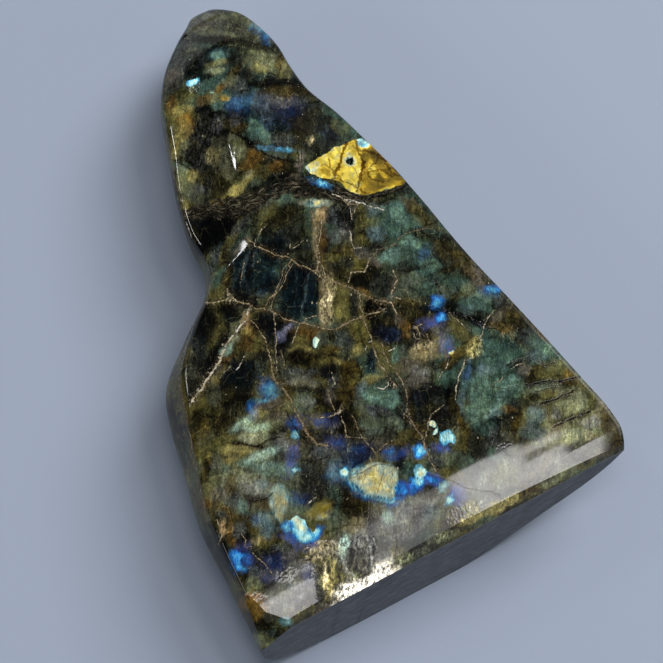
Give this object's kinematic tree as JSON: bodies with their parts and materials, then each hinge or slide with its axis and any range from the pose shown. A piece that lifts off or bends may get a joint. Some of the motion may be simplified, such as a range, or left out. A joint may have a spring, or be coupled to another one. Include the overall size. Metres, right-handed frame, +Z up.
{
  "type": "polished labradorite freeform",
  "caption": "Polished freeform stone with a flat sawn base and a narrow head, lying on its ground back.",
  "frame": {"origin": "centre of the stone's box at the surface that its back rests on", "axes": "+Z up through the polished front face, +Y from the sawn base to the narrow head, +X to the right of the front face"},
  "size_m": [0.0984, 0.1556, 0.0304],
  "materials": {
    "labradorite": "polished, with blue, green and gold flashes; the base is sawn and matte"
  },
  "bodies": {
    "root": {"stone": "labradorite"}
  },
  "joints": []
}
